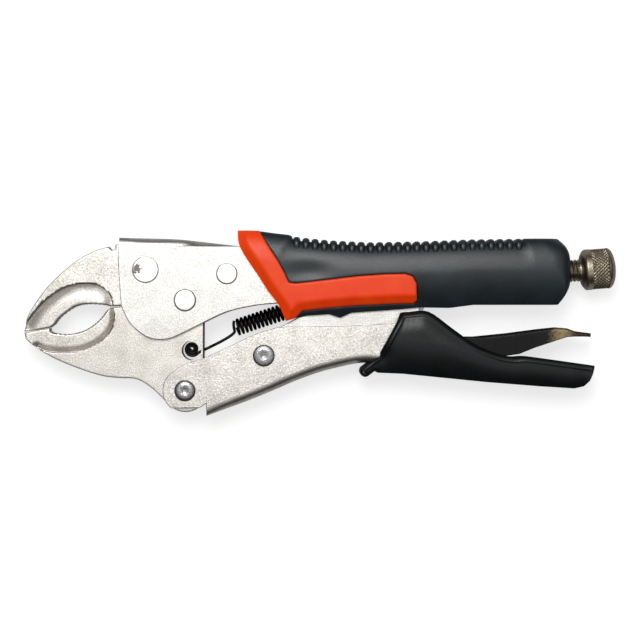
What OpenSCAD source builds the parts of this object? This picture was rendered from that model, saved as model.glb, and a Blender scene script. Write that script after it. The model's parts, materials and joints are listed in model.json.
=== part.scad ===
// Locking pliers, 250 mm long, lying on their side.
// +X runs from the jaws to the knurled screw, +Y is the fixed handle's side, +Z is the thickness.

/* [View] */
// Which piece to draw

/* [Sheet metal] */
// Wall of the two folded handles
sheet_t = 2; // [1.6:0.1:2.2]
// Inside width of the two folded handles
channel_in = 10.6; // [10.4:0.1:10.8]
// Sheet of the release lever
lever_t = 1.4; // [1:0.1:1.8]

/* [Jaws and link] */
// Thickness of the moving jaw
jaw_t = 10; // [9:0.1:10]
// Thickness of the toggle link
link_t = 10; // [9:0.1:10]
// Thickness of both jaws at the recessed lips
lip_t = 6.8; // [6:0.1:8.6]
// Depth of one gripping tooth
tooth_d = 0.35; // [0.2:0.05:0.5]
// Radius of the spring's hole in the moving jaw
spring_hole_r = 4.1; // [3.5:0.1:4.4]

/* [Rivets] */
// Shank radius of the jaw's pivot rivet
pivot_r = 3.5; // [3:0.1:4]
// Shank radius of the handle's and the link's rivets
rivet_r = 3.2; // [2.6:0.1:3.4]
// Height of the pivot rivets' heads
head_h = 0.9; // [0.4:0.1:1.2]
// Running clearance of a bore over its pin
run_gap = 0.05; // [0.02:0.01:0.1]

/* [Adjusting screw] */
// Outside radius of the thread
screw_r = 4.8; // [4.5:0.1:4.8]
// Radius of the knurled head
knob_r = 8.65; // [7.5:0.05:8.8]
// Length of the knurled head
knob_len = 14.7; // [12:0.1:14.7]

/* [Grips] */
// Width of both grips
grip_w = 23; // [20:0.5:24]
// Depth of the ribs along the fixed handle's grip
rib_d = 1.5; // [0.8:0.1:1.8]

/* [Hidden] */
$fn = 64;
mid_z = grip_w / 2;
in_h = channel_in / 2;
out_h = in_h + sheet_t;
grip_h = grip_w / 2;
gap = 0.3;
over = 1;
steel = [0.80, 0.79, 0.76];
dark_steel = [0.20, 0.20, 0.20];
rubber = [0.20, 0.25, 0.26];
orange = [0.95, 0.32, 0.12];

// Centres of the joints and rivets
jaw_pivot = [-56.8, 9.6];
handle_pivot = [-56.8, -28.4];
link_pivot = [-23.7, -13.7];
link_end = [49.9, 17.6];
front_rivet = [-73.4, 22.4];
rear_rivet = [-39.2, 20.7];
spring_hole = [-54.2, -11.5];
spring_pin = [12, 14];
lever_pivot = [46.5, -9.3];

// The screw's axis, and the distance along it from the link's end
screw_tilt = 4.5;
knob_at = 60.5;
cap_front = -1;
slot_floor = 8.2;
cap_back = 12;
neck_r = 2.75;
neck_from = slot_floor + 0.2;
nut_at = 43.5;
nut_len = 8;
nut_h = 15;
cap_h = 12;

// ---- curves ----
function blend4(a, b, c, d, t) = 0.5 * (2 * b + (c - a) * t + (2 * a - 5 * b + 4 * c - d) * t * t
    + (3 * b - a - 3 * c + d) * t * t * t);
function at_end(p, i) = i < 0 ? 2 * p[0] - p[1] : i >= len(p) ? 2 * p[len(p) - 1] - p[len(p) - 2] : p[i];
// A smooth curve through the points p, with n steps to a span
function curve(p, n = 4) = concat(
    [for (i = [0:len(p) - 2]) for (j = [0:n - 1])
        blend4(at_end(p, i - 1), p[i], p[i + 1], at_end(p, i + 2), j / n)],
    [p[len(p) - 1]]);
function left_of(v) = [-v[1], v[0]] / norm(v);
// A curve cut into teeth: every second point is set back by d to the left of the path
function toothed(p, d, n = 6) = let (c = curve(p, n)) [for (i = [0:len(c) - 1])
    (i % 2 == 0 || i == len(c) - 1) ? c[i] : c[i] + d * left_of(c[i + 1] - c[i - 1])];
function reversed(p) = [for (i = [len(p) - 1:-1:0]) p[i]];
function arc(c, r, a0, a1, n = 12) = [for (i = [0:n]) let (a = a0 + (a1 - a0) * i / n) c + r * [cos(a), sin(a)]];

// ---- outlines of the fixed half ----
upper_outer = [[-125, -3.6], [-122.8, 4], [-115.2, 15.1], [-104.4, 25.1], [-96, 30.1], [-89.3, 32.3]];
upper_mouth = [[-111.8, -0.2], [-109.4, 2.7], [-104.9, 6], [-101.6, 7.4], [-97.5, 7.9], [-91.5, 7.6], [-88.9, 7]];
upper_lip = [[-126, -4.6], [-123.4, 0.5], [-119, 6.4], [-113.7, 11.3], [-107.1, 15.1], [-101.2, 16.4],
    [-94.7, 16.2], [-91.5, 14.5], [-88.7, 11.8], [-87.4, 7]];
channel_low = [[-83.6, 7.1], [-80.4, 0.6], [-76.9, -2.9], [-73.4, -5.5], [-69.1, -6.8], [-63.1, -6.4],
    [-54.4, -2.5], [-45.8, 1.8], [-39.3, 4.7], [-32.8, 6.4], [-25.5, 7.7], [-18, 8.3]];
channel_top = [[-33.7, 32.3], [-50.1, 34.3], [-63.1, 35.4], [-84.4, 35.9]];
channel_end = 101.5;
channel_low_end = 10;
channel_top_end = 31.2;

// ---- outlines of the moving half ----
lower_outer = [[-124.9, -4.0], [-123.4, -7.6], [-115.3, -13.3], [-104.9, -18.1], [-93, -22.1], [-85, -23.2],
    [-77.2, -23.8], [-70.2, -28.2], [-63.6, -34.8]];
lower_mouth = [[-114.1, -3.1], [-112.3, -4.1], [-106.4, -4.6], [-102, -3.8], [-99, -2.7], [-96, -0.8],
    [-93, 1.8], [-90.7, 4.8], [-88.9, 6.5]];
lower_lip = [[-87.2, 6.7], [-87.1, 1], [-88.7, -3.3], [-92.6, -7.6], [-99, -10.9], [-105.5, -12.2],
    [-113.6, -12], [-119, -10.4], [-126, -5]];
lower_top = [[-62.4, -20.9], [-57.1, -17.4], [-48.8, -14.7], [-41.8, -11.5], [-34.7, -8.2], [-27.4, -4.8],
    [-20.9, -2.7], [-14, -1.5], [8.4, -1.3], [29.1, -0.2]];
lower_inside = [[44, 0], [58, -6.5], [68, -12.5], [84, -17.2], [111, -20]];
lower_bottom = [[111, -24.9], [92, -24.2], [46, -19.8], [24, -17], [16, -16.9], [8.4, -18.4], [0.2, -20.5],
    [-9.5, -23.9], [-19.3, -28.1], [-29, -32.1], [-38.7, -35.7], [-47.8, -39]];
lug_r = 9.2;
eye_r = 9;
pivot_room = 9.6;

// ---- outlines of the grips ----
collar_front = [[-34.8, 39], [-34.2, 33.5], [-31.8, 28.6], [-25.3, 18.9], [-22, 13.7], [-17.2, 7.2], [-14.5, 0.9]];
grip_under = [[-10.3, 2.1], [-7.3, 3], [3.7, 3.7], [8.4, 2.2], [13, 4.3], [33.8, 5.8], [42.3, 6.6], [55, 6.4],
    [65.1, 7.7], [99.9, 7.7]];
grip_end = [[99.9, 7.7], [103.2, 12.4], [104.9, 17.5], [104.8, 27], [103.4, 31.6], [99.9, 35.5]];
grip_front_top = [[-13.3, 37.1], [-18.8, 37.7], [-24.7, 38.5]];
rib_line = [[-13.3, 36.9], [-9, 36.1], [4, 34.8], [21, 34], [42, 34.4], [63, 35.2], [85, 35.5]];
rib_from = -9.9;
rib_pitch = 3.88;
rib_count = 25;
inlay_inner = [[-25.6, 38.8], [-21, 31.2], [-17.5, 25.7], [-14.9, 20.8], [-13.1, 16.9], [-10, 16.6], [3.9, 18.2],
    [15.5, 19.6], [26.8, 20.4], [35.5, 20.6], [38.6, 19.5], [40.2, 16.6], [40.4, 9.6], [39, 8.2]];
inlay_under = [[30.6, 8.1], [15.5, 7.4], [4.1, 6.4], [-7.5, 5.2], [-10.3, 2.1]];
lower_grip_front = [[33.6, 4.4], [31.7, -0.1], [24.2, -13.9], [19.2, -17.8]];
lower_grip_under = [[23.9, -20.9], [34.3, -21.3], [46.5, -22.5], [69.5, -24.8], [92.4, -26.6], [106.7, -27.5],
    [110.8, -26.6], [113.1, -24.3], [114.5, -21.1], [115.4, -17.9]];
lower_grip_top = [[115.4, -17.9], [92.4, -14.7], [85.9, -14], [80.8, -14.2], [74, -12.8], [64.7, -8.7], [55.4, -2.2],
    [45.5, 4.8], [37.6, 4.8], [33.6, 4.4]];
guard = [18.9, -20.2];
guard_root = [25.2, -15.6];
guard_r = 2.4;

// ---- outlines of the lever and the link ----
lever_top = [[40, -4.4], [50, -5.6], [64.7, -5.7], [78.7, -4.3], [92.4, -2.5], [99.3, -1.8], [104, -2.2], [107.2, -3.4],
    [114, -4.3]];
lever_under = [[114, -5.7], [107.2, -5.7], [104, -5.9], [97, -8.2], [90.1, -10.5], [84, -13], [72, -14.8],
    [56, -14.6], [44, -13.4], [38.5, -9.5], [37.4, -5.6]];
link_top = [[-28.4, -8.2], [-15.8, -1.2], [-9.4, 2.4], [-4, 4], [10, 8.2], [25, 13], [38, 18.6], [48.6, 21.3]];
link_under = [[50.6, 14], [46, 10], [42, 3], [38.5, -0.8], [30, -2.6], [10, -7], [-8, -13], [-19.8, -20]];
link_eye_r = 7.6;
tongue_r = 4;
tongue_t = 5.4;
tongue_from = 9;

// ---- helpers ----
module slab(half) translate([0, 0, -half]) linear_extrude(2 * half) children();
// Cuts the same outline from both faces, from height z outwards
module both_faces(z) for (s = [-1, 1]) scale([1, 1, s]) translate([0, 0, z]) linear_extrude(in_h) children();
module peg(c, r, half) translate([c[0], c[1], -half]) cylinder(r = r, h = 2 * half);
module lay() translate([0, 0, mid_z]) children();
// Local frame of the screw: its axis is +Z, its origin is the link's end
module along_screw() translate([link_end[0], link_end[1], 0]) rotate([0, 0, screw_tilt]) rotate([0, 90, 0]) children();

// A rivet through both walls, with a turned head on each side
module rivet(c, r, head_r, h, dome) {
    foot = 0.35 * h;
    translate([c[0], c[1], 0]) rotate_extrude() polygon(concat(
        [[0, -out_h - h], [head_r - dome, -out_h - h], [head_r, -out_h - foot], [head_r, -out_h], [r, -out_h]],
        [[r, out_h], [head_r, out_h], [head_r, out_h + foot], [head_r - dome, out_h + h], [0, out_h + h]]));
}

// ---- fixed half ----
module channel_shape() polygon(concat(curve(channel_low), [[channel_end, channel_low_end],
    [channel_end, channel_top_end]], curve(channel_top), [[-84.9, 26.5], [-84.5, 18.7]]));
module channel_inside() polygon(concat([[-90, -20], [channel_end + over, -20],
    [channel_end + over, channel_top_end - sheet_t]],
    [for (p = curve(channel_top)) p - [0, sheet_t]], [[-90, 35.9 - sheet_t]]));
module upper_channel() color(steel) lay() difference() {
    slab(out_h) channel_shape();
    slab(in_h) channel_inside();
    peg(jaw_pivot, pivot_r, out_h + over);
    peg(front_rivet, pivot_r, out_h + over);
    peg(rear_rivet, rivet_r, out_h + over);
    peg(spring_pin, 1.5, out_h + over);
}

module upper_jaw() color(steel) lay() difference() {
    slab(in_h) difference() {
        polygon(concat(curve(upper_outer), [[-88, 30.8], [-86.4, 31], [-86.4, 33.2], [-62, 33], [-50, 32.2], [-36, 30.4],
            [-31.5, 26], [-31.5, 17], [-36, 13.5], [-44, 14], [-60, 7.6], [-84, 7.2]],
            reversed(toothed(upper_mouth, tooth_d)), [[-114.1, -1.9], [-119.8, -2.9]]));
        translate(jaw_pivot) circle(r = pivot_room);
    }
    both_faces(lip_t / 2) polygon(concat(curve(upper_lip), [[-87.4, -8], [-126, -8]]));
    peg(front_rivet, pivot_r, out_h);
    peg(rear_rivet, rivet_r, out_h);
}

module upper_jaw_front_rivet() color(steel) lay() rivet(front_rivet, pivot_r, 5.6, 0.5, 0.3);
module upper_jaw_rear_rivet() color(steel) lay() rivet(rear_rivet, rivet_r, 4.5, 0.7, 0.5);
module jaw_pivot_rivet() color(steel) lay() rivet(jaw_pivot, pivot_r, 4.75, head_h, 0.6);
module spring_anchor_pin() color(steel) lay() peg(spring_pin, 1.5, out_h);

// Four points to a rib: foot, two at the top, foot
function rib_points() = [for (i = [0:rib_count - 1]) for (q = [-0.36, -0.2, 0.2, 0.36])
    let (x = rib_from + rib_pitch * (i + q)) [x, lookup(x, rib_line) - (abs(q) > 0.3 ? rib_d : 0)]];
module grip_shape() polygon(concat(curve(collar_front), grip_under, curve(grip_end), [[86, 35.5], [85.3, 35.4]],
    reversed(rib_points()), [[-12, 36.6]], grip_front_top));
module inlay_shape() polygon(concat(curve(collar_front), reversed(inlay_under),
    reversed(inlay_inner)));
module grip_bore() {
    slab(out_h) channel_shape();
    slab(in_h) polygon([[-40, -5], [62, -5], [62, 20], [-40, 20]]);
    along_screw() cylinder(r = screw_r + gap, h = 80);
}
module upper_grip() color(rubber) lay() difference() {
    slab(grip_h) difference() {
        grip_shape();
        inlay_shape();
    }
    grip_bore();
}
module upper_grip_inlay() color(orange) lay() difference() {
    slab(grip_h) inlay_shape();
    grip_bore();
}

// ---- adjusting screw, along its own axis ----
module screw_nut() color(steel) lay() difference() {
    intersection() {
        along_screw() translate([-in_h, -nut_h / 2, nut_at]) cube([channel_in, nut_h, nut_len]);
        slab(in_h) channel_shape();
    }
    along_screw() cylinder(r = screw_r + run_gap, h = 80);
}
module adjusting_screw() color(steel) lay() along_screw() rotate_extrude() polygon([[0, neck_from],
    [neck_r, neck_from], [neck_r, cap_back + gap], [screw_r - 0.8, cap_back + gap],
    [screw_r, cap_back + gap + 0.8], [screw_r, knob_at], [knob_r - 1.3, knob_at], [knob_r, knob_at + 1.5],
    [knob_r, knob_at + knob_len - 3.4], [knob_r - 1.2, knob_at + knob_len - 1.6],
    [knob_r - 3, knob_at + knob_len - 0.6], [knob_r - 5.4, knob_at + knob_len - 0.15], [0, knob_at + knob_len]]);
module screw_thrust_cap() color(steel) lay() difference() {
    along_screw() translate([0.4 - in_h, -cap_h / 2, cap_front]) cube([channel_in - 0.8, cap_h, cap_back - cap_front]);
    along_screw() translate([-tongue_t / 2 - 0.4, -cap_h / 2 - over, cap_front - over])
        cube([tongue_t + 0.8, cap_h + 2 * over, slot_floor - cap_front + over]);
    along_screw() cylinder(r = neck_r + run_gap, h = cap_back + over);
}

// ---- moving jaw and its spring ----
module lower_jaw() color(steel) lay() difference() {
    union() {
        slab(jaw_t / 2) polygon(concat([[-119.8, -3.15], [-114.1, -2.15]], toothed(lower_mouth, -tooth_d),
            [[-84, 6.9], [-66, 6.9], [-49, 3], [-49, -26], handle_pivot], reversed(curve(lower_outer))));
        peg(jaw_pivot, eye_r, jaw_t / 2);
        peg(handle_pivot, lug_r, jaw_t / 2);
    }
    peg(spring_hole, spring_hole_r, out_h);
    both_faces(lip_t / 2) polygon(concat(curve(lower_lip), [[-126, 10], [-87.2, 10]]));
    // A narrow slot at mid thickness lets the spring's wire into the hole
    slab(slot_t / 2) translate([spring_hole[0], spring_hole[1] - 3]) square([8, 6]);
    peg(jaw_pivot, pivot_r + run_gap, out_h);
    peg(handle_pivot, rivet_r + run_gap, out_h);
}
spring_from = [-35.5, -1.9];
spring_run = spring_pin - spring_from;
spring_turn = atan2(spring_run[1], spring_run[0]);
spring_len = norm(spring_run) - 4.2;
coil_r = 3.7;
wire_r = 0.62;
wire_mid = coil_r - wire_r;
hook_at = [-51.4, -12.9];
hook_w = 3.2;
slot_t = 1.9;
module along_spring() translate([spring_from[0], spring_from[1], 0]) rotate([0, 0, spring_turn]) children();
function on_spring(x, y) = spring_from + [x * cos(spring_turn) - y * sin(spring_turn),
    x * sin(spring_turn) + y * cos(spring_turn)];
module bar(a, b, r) translate([a[0], a[1], 0]) rotate([0, 0, atan2(b[1] - a[1], b[0] - a[0])])
    rotate([0, 90, 0]) cylinder(r = r, h = norm(b - a));
module jaw_spring() color(dark_steel) lay() {
    along_spring() rotate([0, 90, 0]) difference() {
        cylinder(r = coil_r, h = spring_len);
        translate([0, 0, -over]) cylinder(r = coil_r - 2 * wire_r, h = spring_len + 2 * over);
    }
    bar(hook_at, on_spring(1, -wire_mid), wire_r);
    peg(hook_at, wire_r, hook_w);
    translate([spring_pin[0], spring_pin[1], 0]) rotate_extrude()
        translate([1.5 + wire_r + 0.1, 0]) circle(r = wire_r, $fn = 24);
    bar(on_spring(spring_len - 1, wire_mid), on_spring(norm(spring_run) - 0.4, 1.6 + wire_r), wire_r);
}

// ---- lower handle ----
module lower_shape() polygon(concat(arc(handle_pivot, 9.4, 232, 128), curve(lower_top), lower_inside,
    [lower_bottom[0]], curve([for (i = [1:len(lower_bottom) - 1]) lower_bottom[i]]), [[-48, -33.9], [-50.6, -35.6]]));
module lower_channel() color(steel) lay() difference() {
    slab(out_h) lower_shape();
    slab(in_h) polygon(concat([[-70, 20], [111 + over, 20], [111 + over, -24.9 + sheet_t]],
        [for (p = curve([for (i = [1:len(lower_bottom) - 1]) lower_bottom[i]])) p + [0, sheet_t]],
        [[-49, -42], [-70, -42]]));
    peg(handle_pivot, rivet_r, out_h + over);
    peg(link_pivot, rivet_r, out_h + over);
    peg(lever_pivot, 2, out_h + over);
}
module lower_handle_rivet() color(steel) lay() rivet(handle_pivot, rivet_r, 4.5, head_h + 0.3, 1.5);
module toggle_link_rivet() color(steel) lay() rivet(link_pivot, rivet_r, 4.6, head_h, 1);
module release_lever_pin() color(steel) lay() peg(lever_pivot, 2, out_h);
module lower_grip() color(dark_steel) lay() difference() {
    slab(grip_h) union() {
        polygon(concat(lower_grip_front, lower_grip_under, curve(lower_grip_top)));
        hull() {
            translate(guard) circle(r = guard_r);
            translate(guard_root) circle(r = guard_r);
        }
    }
    slab(out_h) lower_shape();
    slab(in_h) polygon([[10, 8], [10, -15], [50, -18], [104, -20], [104, 8]]);
}
module release_lever() color(dark_steel) lay() difference() {
    slab(in_h - 0.4) polygon(concat(lever_top, lever_under));
    slab(in_h - 0.4 - lever_t) polygon(concat([for (p = lever_top) if (p[0] < 105) p - [0, lever_t]],
        [[104.5, -8], [104.5, -30], [30, -30], [30, -5.8]]));
    peg(lever_pivot, 2 + run_gap, out_h);
}
module toggle_link() color(steel) lay() difference() {
    union() {
        slab(link_t / 2) polygon(concat(curve(link_top), link_under, [link_pivot]));
        peg(link_pivot, link_eye_r, link_t / 2);
        peg(link_end, tongue_r, tongue_t / 2);
    }
    both_faces(tongue_t / 2) translate(link_end) rotate(screw_tilt) translate([-tongue_from, -20]) square([30, 40]);
    peg(link_pivot, rivet_r + run_gap, out_h);
}

upper_channel();
upper_jaw();
upper_jaw_front_rivet();
upper_jaw_rear_rivet();
jaw_pivot_rivet();
upper_grip();
upper_grip_inlay();
screw_nut();
spring_anchor_pin();
adjusting_screw();
screw_thrust_cap();
lower_jaw();
jaw_spring();
lower_channel();
lower_handle_rivet();
toggle_link_rivet();
lower_grip();
release_lever_pin();
release_lever();
toggle_link();
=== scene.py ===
# %% [markdown]
# # Locking pliers, from CAD frame to finished look
# The frame already holds every piece of the pliers in its real place and size. This lesson adds what a drawing
# leaves out: bends in the sheet metal, scooped jaw lips, crowned grips, a knurled head and the real finishes.
# Blender measures in metres, and a hand tool is easier to think about in millimetres, so MM turns one into the other.

# %% Load the frame
import json
import math
import bmesh
import bpy
import numpy as np
from mathutils import Matrix, Vector
from mathutils.geometry import delaunay_2d_cdt

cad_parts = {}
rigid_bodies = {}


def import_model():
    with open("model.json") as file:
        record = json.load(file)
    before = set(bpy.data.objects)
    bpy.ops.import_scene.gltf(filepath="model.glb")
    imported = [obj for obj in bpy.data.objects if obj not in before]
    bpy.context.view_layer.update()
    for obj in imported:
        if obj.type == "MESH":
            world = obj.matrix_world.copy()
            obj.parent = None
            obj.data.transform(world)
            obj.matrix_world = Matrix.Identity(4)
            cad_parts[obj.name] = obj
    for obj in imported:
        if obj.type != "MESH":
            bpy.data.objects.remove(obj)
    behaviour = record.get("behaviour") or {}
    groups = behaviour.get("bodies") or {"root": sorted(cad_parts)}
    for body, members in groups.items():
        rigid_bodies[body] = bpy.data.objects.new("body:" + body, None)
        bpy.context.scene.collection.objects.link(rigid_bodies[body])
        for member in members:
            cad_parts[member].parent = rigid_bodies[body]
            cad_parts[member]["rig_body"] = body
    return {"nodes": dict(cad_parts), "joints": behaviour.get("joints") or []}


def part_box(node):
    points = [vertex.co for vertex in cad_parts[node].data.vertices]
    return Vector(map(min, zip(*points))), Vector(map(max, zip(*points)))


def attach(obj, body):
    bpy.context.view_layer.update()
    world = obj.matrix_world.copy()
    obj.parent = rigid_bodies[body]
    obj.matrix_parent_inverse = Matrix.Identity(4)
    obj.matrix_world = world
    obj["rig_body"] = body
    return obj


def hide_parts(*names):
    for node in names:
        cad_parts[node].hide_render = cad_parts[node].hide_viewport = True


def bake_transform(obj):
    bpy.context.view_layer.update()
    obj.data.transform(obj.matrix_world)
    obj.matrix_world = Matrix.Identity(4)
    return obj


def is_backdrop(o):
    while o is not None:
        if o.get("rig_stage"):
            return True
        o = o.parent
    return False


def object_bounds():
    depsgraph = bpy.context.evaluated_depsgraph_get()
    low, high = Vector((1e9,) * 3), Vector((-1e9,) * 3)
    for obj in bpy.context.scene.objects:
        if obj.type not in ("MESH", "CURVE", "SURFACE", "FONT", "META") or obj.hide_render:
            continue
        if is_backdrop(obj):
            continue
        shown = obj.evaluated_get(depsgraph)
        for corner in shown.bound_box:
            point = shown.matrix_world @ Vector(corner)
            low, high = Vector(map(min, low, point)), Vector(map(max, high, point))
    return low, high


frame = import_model()
MM = 0.001
cad_low, cad_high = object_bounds()
MID = (cad_low.z + cad_high.z) / 2
TOP_HALF = (cad_high.z - cad_low.z) / 2 / MM
print("pieces in the frame:", len(frame["nodes"]), "size in mm:", [round(v / MM, 1) for v in cad_high - cad_low])

# %% [markdown]
# ## Stage, light and camera
# Bright metal is best shown in a light tent, because metal shows what is around it. A world that is bright overhead
# and darker towards the horizon gives flat faces a clean shine and turned edges a dark line. One soft lamp from the
# far side adds the highlights that rubber and vinyl need to look round. The paper glows a little for the camera only,
# so it stays white without lighting up the undersides.

# %% Add a node
def add(tree, kind, sockets=None, **settings):
    """Adds a node of a kind, named without its ShaderNode or GeometryNode; settings gives the node's own options.
    sockets gives each input, by name or number, a value, a socket or a node, which stands for its first output."""
    prefixes = ("", "GeometryNode", "ShaderNode") if tree.type == "GEOMETRY" else ("ShaderNode",)
    node = tree.nodes.new(next(p + kind for p in prefixes if hasattr(bpy.types, p + kind)))
    for name, value in settings.items():
        setattr(node, name, value)
    for name, value in (sockets or {}).items():
        value = value.outputs[0] if isinstance(value, bpy.types.Node) else value
        if isinstance(value, bpy.types.NodeSocket):
            tree.links.new(value, node.inputs[name])
        else:
            node.inputs[name].default_value = value
    return node

def linear(code):
    """An sRGB hex colour as the linear values that shaders work in."""
    parts = [int(code[i:i + 2], 16) / 255 for i in (1, 3, 5)]
    return tuple(c / 12.92 if c <= 0.04045 else ((c + 0.055) / 1.055) ** 2.4 for c in parts) + (1.0,)

# %% World, lamp, floor and camera
scene = bpy.context.scene
scene.view_settings.view_transform = "Standard"
world = bpy.data.worlds.new("light_tent")
scene.world = world
world.use_nodes = True
sky = world.node_tree
sky.nodes.clear()
aim = add(sky, "TexCoord").outputs["Generated"]
up = add(sky, "SeparateXYZ", {0: aim}).outputs["Z"]
side = add(sky, "SeparateXYZ", {0: aim}).outputs["Y"]
lean = add(sky, "Math", {0: side, 1: 0.22, 2: up}, operation="MULTIPLY_ADD")
tent = add(sky, "ValToRGB", {0: lean})
tent.color_ramp.elements[0].position, tent.color_ramp.elements[0].color = 0.42, (0.035, 0.028, 0.024, 1)
tent.color_ramp.elements[1].position, tent.color_ramp.elements[1].color = 0.86, (1.0, 1.0, 1.0, 1)
tent.color_ramp.elements.new(0.68).color = (0.26, 0.25, 0.24, 1)
seen = add(sky, "LightPath").outputs["Is Camera Ray"]
shade = add(sky, "Mix", {0: seen, 6: tent, 7: (0.92, 0.92, 0.92, 1)}, data_type="RGBA")
back = add(sky, "Background", {"Color": shade.outputs[2], "Strength": 0.92})
add(sky, "OutputWorld", {"Surface": back})

lamp_data = bpy.data.lights.new("soft_lamp", "AREA")
lamp_data.energy, lamp_data.size = 4.2, 0.4
lamp = bpy.data.objects.new("soft_lamp", lamp_data)
lamp.location = (-0.08, 0.38, 0.92)
lamp.rotation_euler = (Vector((0, 0, 0)) - lamp.location).to_track_quat("-Z", "Y").to_euler()
scene.collection.objects.link(lamp)

floor_mesh = bpy.data.meshes.new("floor")
floor_mesh.from_pydata([(-2, -2, 0), (2, -2, 0), (2, 2, 0), (-2, 2, 0)], [], [(0, 1, 2, 3)])
floor = bpy.data.objects.new("floor", floor_mesh)
scene.collection.objects.link(floor)
paper = bpy.data.materials.new("matte_white_paper")
paper.use_nodes = True
paper_look = paper.node_tree.nodes["Principled BSDF"]
paper_look.inputs["Base Color"].default_value = linear("#b4b4b4")
paper_look.inputs["Roughness"].default_value = 0.9
paper_look.inputs["Emission Color"].default_value = (1, 1, 1, 1)
lit = add(paper.node_tree, "LightPath").outputs["Is Camera Ray"]
glow = add(paper.node_tree, "Math", {0: lit, 1: 0.66, 2: 0.04}, operation="MULTIPLY_ADD")
paper.node_tree.links.new(glow.outputs[0], paper_look.inputs["Emission Strength"])
floor_mesh.materials.append(paper)
floor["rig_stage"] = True

camera_data = bpy.data.cameras.new("camera")
camera_data.lens, camera_data.sensor_width = 100, 36
camera = bpy.data.objects.new("camera", camera_data)
camera.location = (-0.0001, 0.0013, MID + 0.7533)
scene.collection.objects.link(camera)
scene.camera = camera
print("camera height in mm:", round(camera.location.z / MM))

# %% [markdown]
# ## Finishes
# Each finish is named for the real material. A pattern is sized by the real width of its grain: a noise of scale s
# repeats about every 1/s metres, so 1000 divided by the grain in millimetres is the scale.

# %% What all finishes share
def blank(name):
    """A new material with its tree, its shader and the place on the object, which every pattern follows."""
    made = bpy.data.materials.new(name)
    made.use_nodes = True
    tree = made.node_tree
    return made, tree, tree.nodes["Principled BSDF"], add(tree, "TexCoord").outputs["Object"]

def grained(tree, fine, smoothest, dullest, depth):
    """Lets a fine noise vary the roughness between two values and press pits depth mm deep into the surface."""
    look = tree.nodes["Principled BSDF"]
    dull = add(tree, "MapRange", {0: fine.outputs["Fac"], 1: 0.3, 2: 0.7, 3: smoothest, 4: dullest})
    tree.links.new(dull.outputs[0], look.inputs["Roughness"])
    pit = add(tree, "Bump", {"Strength": 1.0, "Distance": depth * MM, "Height": fine.outputs["Fac"]})
    tree.links.new(pit.outputs[0], look.inputs["Normal"])

# %% Steel
def steel(name, light, dark, rough, grain, depth, blotch=9.0, cloud=0.35, shift=0.10):
    """Steel whose colour wanders between light and dark, with a grain that breaks the shine; lengths in mm."""
    made, tree, look, place = blank(name)
    look.inputs["Metallic"].default_value = 1.0
    fine = add(tree, "TexNoise", {"Vector": place, "Scale": 1 / (grain * MM), "Detail": 3.0, "Roughness": 0.6})
    wide = add(tree, "TexNoise", {"Vector": place, "Scale": 1 / (blotch * MM), "Detail": 4.0})
    both = add(tree, "Math", {0: wide.outputs["Fac"], 1: cloud, 2: fine.outputs["Fac"]}, operation="MULTIPLY_ADD")
    share = add(tree, "MapRange", {0: both, 1: 0.34 + cloud / 2, 2: 0.66 + cloud / 2})
    tone = add(tree, "Mix", {0: share, 6: linear(dark), 7: linear(light)}, data_type="RGBA")
    tree.links.new(tone.outputs[2], look.inputs["Base Color"])
    grained(tree, fine, rough + shift, rough - shift, depth)
    return made

# Pressed sheet with bright nickel over it: nearly white, with a faint grain from the rolling.
plated_sheet = steel("nickel_plated_pressed_sheet", "#dbdad7", "#b2afaa", 0.36, 0.55, 0.07)
# The moving handle is tumbled before plating, so its walls keep a coarser, greyer grain.
plated_wall = steel("nickel_plated_handle_sheet", "#dcd9d3", "#a9a59e", 0.34, 0.6, 0.10)
# Forged, shot blasted and plated: a fine matte grain that scatters the light.
forged_steel = steel("nickel_plated_forged_jaw", "#d9d6d0", "#a6a199", 0.36, 0.5, 0.09)
# Peening cracks the plating off a rivet's head: darker steel with small hammered flats.
rivet_steel = steel("peened_rivet_steel", "#aeadae", "#777678", 0.30, 0.7, 0.10)
# Flush heads that are plated with the handle look a little brighter than it.
rivet_plate = steel("nickel_plated_rivet_head", "#f2f0ec", "#dcd8d2", 0.34, 0.7, 0.04)
# Turned steel with a thin passivation: a warm brown grey that goes dark in the grooves.
screw_steel = steel("turned_screw_steel", "#b3aa98", "#7d7361", 0.34, 0.5, 0.05)
# Spring wire blackened in oil: almost black, with a low sheen.
spring_steel = steel("blackened_spring_wire", "#2e2c2a", "#141312", 0.35, 0.8, 0.02)
print("steels:", [m.name for m in (plated_sheet, plated_wall, forged_steel, rivet_steel, screw_steel, spring_steel)])

# %% Rubber, plastic and vinyl
def moulded(name, light, dark, rough, grain, depth, coat=0.0, shine=0.5):
    """Moulded rubber or plastic: an even colour with a faint grain from the mould's surface."""
    made, tree, look, place = blank(name)
    look.inputs["IOR"].default_value = 1.5
    look.inputs["Specular IOR Level"].default_value = shine
    look.inputs["Coat Weight"].default_value = coat
    look.inputs["Coat Roughness"].default_value = 0.25
    fine = add(tree, "TexNoise", {"Vector": place, "Scale": 1 / (grain * MM), "Detail": 3.0})
    wide = add(tree, "TexNoise", {"Vector": place, "Scale": 1 / (9 * MM), "Detail": 3.0})
    share = add(tree, "MapRange", {0: wide.outputs["Fac"], 1: 0.3, 2: 0.7})
    tone = add(tree, "Mix", {0: share, 6: linear(dark), 7: linear(light)}, data_type="RGBA")
    tree.links.new(tone.outputs[2], look.inputs["Base Color"])
    grained(tree, fine, rough - 0.04, rough + 0.05, depth)
    return made

# Soft grip rubber from an etched mould: slate, with a broad soft highlight.
slate_rubber = moulded("moulded_slate_rubber", "#19252a", "#12191d", 0.36, 0.6, 0.03)
# Hard polypropylene from a smoother mould: saturated, with less white in its highlight.
orange_plastic = moulded("semi_gloss_orange_plastic", "#ff4c10", "#f83e06", 0.36, 0.8, 0.015, shine=0.25)
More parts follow.
